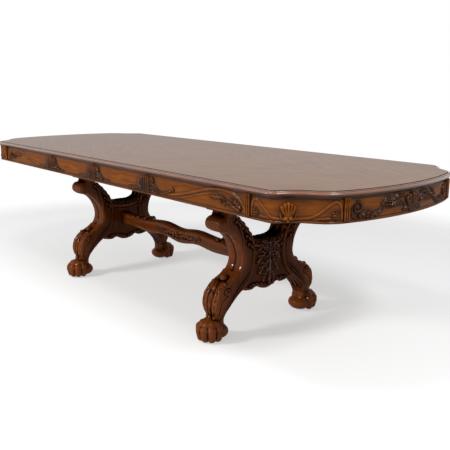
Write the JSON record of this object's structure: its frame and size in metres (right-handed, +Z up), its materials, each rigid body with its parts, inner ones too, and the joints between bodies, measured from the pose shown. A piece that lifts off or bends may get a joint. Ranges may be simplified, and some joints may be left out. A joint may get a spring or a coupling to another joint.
{
  "type": "extending dining table",
  "caption": "Extending dining table with carved aprons, loose leaves and scrolled lion-paw trestle pedestals joined by a serpentine stretcher",
  "frame": {"origin": "on the floor under the middle of the table", "axes": "+X along the table to its right end, +Z up, -Y towards the front long side"},
  "size_m": [2.834, 1.08, 0.787],
  "materials": {
    "top_veneer": "gloss",
    "apron_wood": "gloss",
    "carved_wood": "gloss",
    "plain_wood": "matte",
    "steel": "satin",
    "brass": "satin",
    "glide_plastic": "matte"
  },
  "bodies": {
    "base": {"bearer_bolts": "steel", "centre_rail_back": "plain_wood", "centre_rail_front": "plain_wood", "floor_glides": "glide_plastic", "leaf_plaques": "carved_wood", "left_bearer": "carved_wood", "left_leg_back": "carved_wood", "left_leg_front": "carved_wood", "left_pedestal_panel": "carved_wood", "pinion_pins": "steel", "right_bearer": "carved_wood", "right_leg_back": "carved_wood", "right_leg_front": "carved_wood", "right_pedestal_panel": "carved_wood", "stretcher": "carved_wood", "stretcher_bolts": "steel"},
    "left_half": {"left_corner_apron_back": "apron_wood", "left_corner_apron_front": "apron_wood", "left_corner_blocks": "plain_wood", "left_corner_shells": "carved_wood", "left_edge_moulding": "apron_wood", "left_end_apron": "apron_wood", "left_fluted_strips": "carved_wood", "left_racks": "plain_wood", "left_runner_back": "plain_wood", "left_runner_front": "plain_wood", "left_screws": "steel", "left_side_apron_back": "apron_wood", "left_side_apron_front": "apron_wood", "left_top_panel": "top_veneer"},
    "left_leaf": {"left_leaf_apron_back": "apron_wood", "left_leaf_apron_front": "apron_wood", "left_leaf_edges": "apron_wood", "left_leaf_panel": "top_veneer", "left_leaf_studs": "steel"},
    "left_lock_back": {"left_lock_back": "brass"},
    "left_lock_front": {"left_lock_front": "brass"},
    "pinion_back": {"pinion_back": "steel"},
    "pinion_front": {"pinion_front": "steel"},
    "right_half": {"right_corner_apron_back": "apron_wood", "right_corner_apron_front": "apron_wood", "right_corner_blocks": "plain_wood", "right_corner_shells": "carved_wood", "right_edge_moulding": "apron_wood", "right_end_apron": "apron_wood", "right_fluted_strips": "carved_wood", "right_racks": "plain_wood", "right_runner_back": "plain_wood", "right_runner_front": "plain_wood", "right_screws": "steel", "right_side_apron_back": "apron_wood", "right_side_apron_front": "apron_wood", "right_top_panel": "top_veneer"},
    "right_leaf": {"right_leaf_apron_back": "apron_wood", "right_leaf_apron_front": "apron_wood", "right_leaf_edges": "apron_wood", "right_leaf_panel": "top_veneer", "right_leaf_studs": "steel"},
    "right_lock_back": {"right_lock_back": "brass"},
    "right_lock_front": {"right_lock_front": "brass"}
  },
  "joints": [
    {"name": "right_half_slide", "type": "slide", "parent": "base", "child": "right_half", "axis": [1, 0, 0], "range_m": [0, 0.05]},
    {"name": "left_half_slide", "type": "slide", "parent": "base", "child": "left_half", "axis": [-1, 0, 0], "range_m": [0, 0.05]},
    {"name": "pinion_back_turn", "type": "hinge", "parent": "base", "child": "pinion_back", "pos_m": [0, 0.2, 0.725], "axis": [0, 0, 1], "range_deg": [-144, 0]},
    {"name": "pinion_front_turn", "type": "hinge", "parent": "base", "child": "pinion_front", "pos_m": [0, -0.2, 0.725], "axis": [0, 0, 1], "range_deg": [-144, 0]},
    {"name": "right_leaf_lift", "type": "slide", "parent": "base", "child": "right_leaf", "axis": [0, 0, 1], "range_m": [0, 0.25]},
    {"name": "left_leaf_lift", "type": "slide", "parent": "base", "child": "left_leaf", "axis": [0, 0, 1], "range_m": [0, 0.25]},
    {"name": "right_lock_back_turn", "type": "hinge", "parent": "right_half", "child": "right_lock_back", "pos_m": [0.502, 0.33, 0.7627], "axis": [0, 0, 1], "range_deg": [0, 90]},
    {"name": "right_lock_front_turn", "type": "hinge", "parent": "right_half", "child": "right_lock_front", "pos_m": [0.502, -0.33, 0.7627], "axis": [0, 0, -1], "range_deg": [0, 90]},
    {"name": "left_lock_back_turn", "type": "hinge", "parent": "left_half", "child": "left_lock_back", "pos_m": [-0.502, 0.33, 0.7627], "axis": [0, 0, -1], "range_deg": [0, 90]},
    {"name": "left_lock_front_turn", "type": "hinge", "parent": "left_half", "child": "left_lock_front", "pos_m": [-0.502, -0.33, 0.7627], "axis": [0, 0, 1], "range_deg": [0, 90]}
  ],
  "couplings": [
    {"joint": "left_half_slide", "follows": "right_half_slide", "ratio": 1},
    {"joint": "pinion_back_turn", "follows": "right_half_slide", "rad_per_m": -50},
    {"joint": "pinion_front_turn", "follows": "right_half_slide", "rad_per_m": -50}
  ]
}
